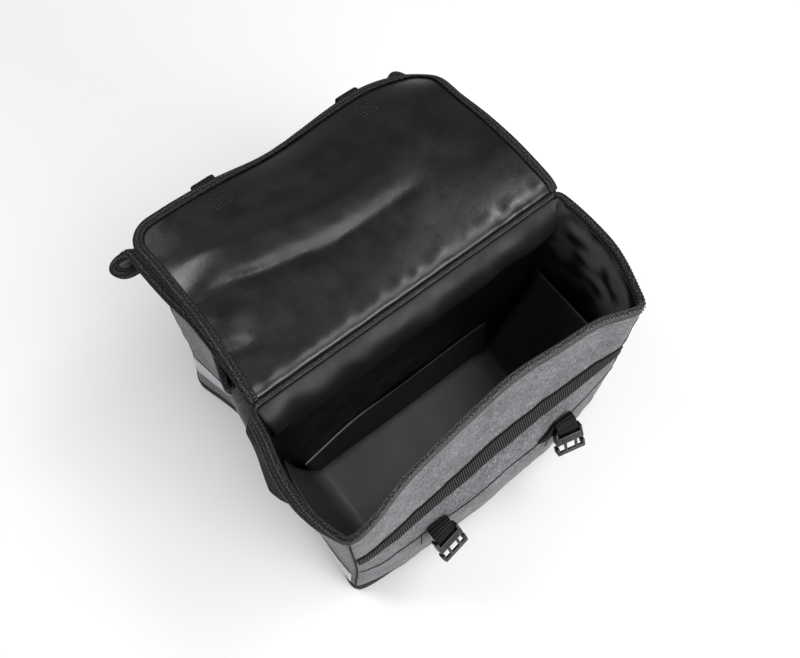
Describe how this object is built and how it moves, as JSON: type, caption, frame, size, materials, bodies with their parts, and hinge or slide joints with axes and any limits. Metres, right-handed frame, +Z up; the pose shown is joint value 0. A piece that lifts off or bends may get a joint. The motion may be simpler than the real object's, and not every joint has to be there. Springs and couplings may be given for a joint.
{
  "type": "double bicycle pannier",
  "caption": "Soft pair of bicycle luggage bags joined by a cloth bridge, the near bag open with its lid thrown back over the buckled far bag.",
  "frame": {"origin": "middle of the pair's overall plan, on the floor that both bases stand on", "axes": "+X along the bags towards the near bag's right end, +Y from the near bag's front towards the far bag's front, +Z up"},
  "size_m": [0.396, 0.4118, 0.3122],
  "materials": {
    "grey_cloth": "matt heather woven polyester, mid grey with dark flecks",
    "black_lining": "coated black fabric with a soft gloss and a fine weave",
    "black_tape": "black woven binding tape",
    "black_webbing": "black ribbed polypropylene webbing",
    "black_plastic": "black moulded acetal, satin",
    "reflective_strip": "silver-grey retroreflective tape",
    "grey_board": "dark grey flexible stiffener sheet, fine grained"
  },
  "bodies": {
    "root": {"near_front_panel": "grey_cloth", "near_left_end_panel": "grey_cloth", "near_right_end_panel": "grey_cloth", "near_back_panel": "black_lining", "near_base_panel": "black_tape", "near_rim_binding": "black_tape", "near_front_band": "black_tape", "near_left_reflector": "reflective_strip", "near_right_reflector": "reflective_strip", "near_side_strap": "black_webbing", "near_lid": "black_lining", "near_lid_binding": "black_tape", "near_left_buckle_strap": "black_webbing", "near_right_buckle_strap": "black_webbing", "near_left_socket": "black_plastic", "near_right_socket": "black_plastic", "near_left_lid_strap": "black_webbing", "near_right_lid_strap": "black_webbing", "near_left_plug": "black_plastic", "near_right_plug": "black_plastic", "far_front_panel": "grey_cloth", "far_left_end_panel": "grey_cloth", "far_right_end_panel": "grey_cloth", "far_back_panel": "black_lining", "far_base_panel": "black_tape", "far_rim_binding": "black_tape", "far_front_band": "black_tape", "far_left_reflector": "reflective_strip", "far_right_reflector": "reflective_strip", "far_side_strap": "black_webbing", "far_lid": "grey_cloth", "far_lid_binding": "black_tape", "far_left_buckle_strap": "black_webbing", "far_right_buckle_strap": "black_webbing", "far_left_socket": "black_plastic", "far_right_socket": "black_plastic", "far_left_lid_strap": "black_webbing", "far_right_lid_strap": "black_webbing", "far_left_plug": "black_plastic", "far_right_plug": "black_plastic", "bridge": "grey_cloth", "base_insert": "grey_board"}
  },
  "joints": []
}
